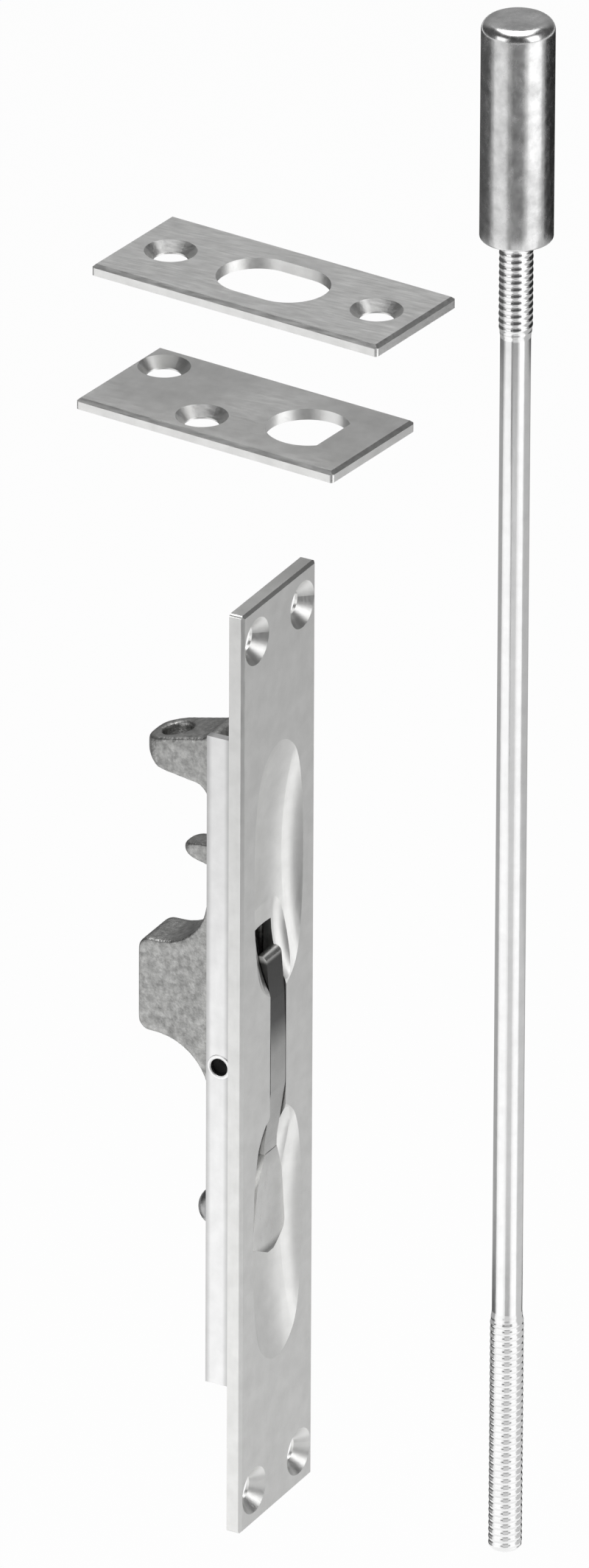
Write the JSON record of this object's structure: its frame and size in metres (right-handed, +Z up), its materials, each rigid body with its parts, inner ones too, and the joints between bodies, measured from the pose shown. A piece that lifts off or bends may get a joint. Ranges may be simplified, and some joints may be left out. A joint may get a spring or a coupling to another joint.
{
  "type": "lever extension flush bolt",
  "caption": "Lever-operated extension flush bolt for a door edge: scooped face plate with flip lever and cast slide, threaded extension rod with bolt tip, strike plate and guide plate.",
  "frame": {"origin": "centre of the rectangle of the four face plate screws, on the back of the face plate, which seats on the door", "axes": "+Z up along the bolt's throw, +X across the face plate, -Y out of the face plate, +Y into the door"},
  "size_m": [0.1394, 0.0591, 0.2921],
  "materials": {
    "satin_plate": "satin, fine brushed",
    "bright_channel": "bright zinc plated",
    "pin_steel": "plain steel",
    "rivet_steel": "bright plated",
    "washer_steel": "spring steel",
    "cast_metal": "grainy casting",
    "lever_metal": "satin",
    "plated_rod": "bright zinc plated",
    "turned_tip": "turned and polished",
    "keeper_plate": "satin"
  },
  "bodies": {
    "housing": {"face_plate": "satin_plate", "channel_housing": "bright_channel", "lever_pivot_pin": "pin_steel", "guide_studs": "pin_steel", "guide_rivet": "rivet_steel", "friction_washer": "washer_steel", "strike_plate": "keeper_plate", "guide_plate": "keeper_plate"},
    "lever": {"lever": "lever_metal"},
    "slide": {"operating_slide": "cast_metal"},
    "rod": {"extension_rod": "plated_rod"},
    "tip": {"bolt_tip": "turned_tip"}
  },
  "joints": [
    {"name": "lever_turn", "type": "hinge", "parent": "housing", "child": "lever", "pos_m": [0, -0.00075, 0], "axis": [-1, 0, 0], "range_deg": [0, 180]},
    {"name": "slide_travel", "type": "slide", "parent": "housing", "child": "slide", "axis": [0, 0, 1], "range_m": [-0.01905, 0]},
    {"name": "rod_travel", "type": "slide", "parent": "housing", "child": "rod", "axis": [0, 0, 1], "range_m": [-0.01905, 0]},
    {"name": "tip_adjust", "type": "slide", "parent": "rod", "child": "tip", "axis": [0, 0, 1], "range_m": [-0.017, 0.006]}
  ],
  "couplings": [
    {"joint": "lever_turn", "follows": "slide_travel", "rad_per_m": -164.91},
    {"joint": "rod_travel", "follows": "slide_travel", "ratio": 1}
  ]
}
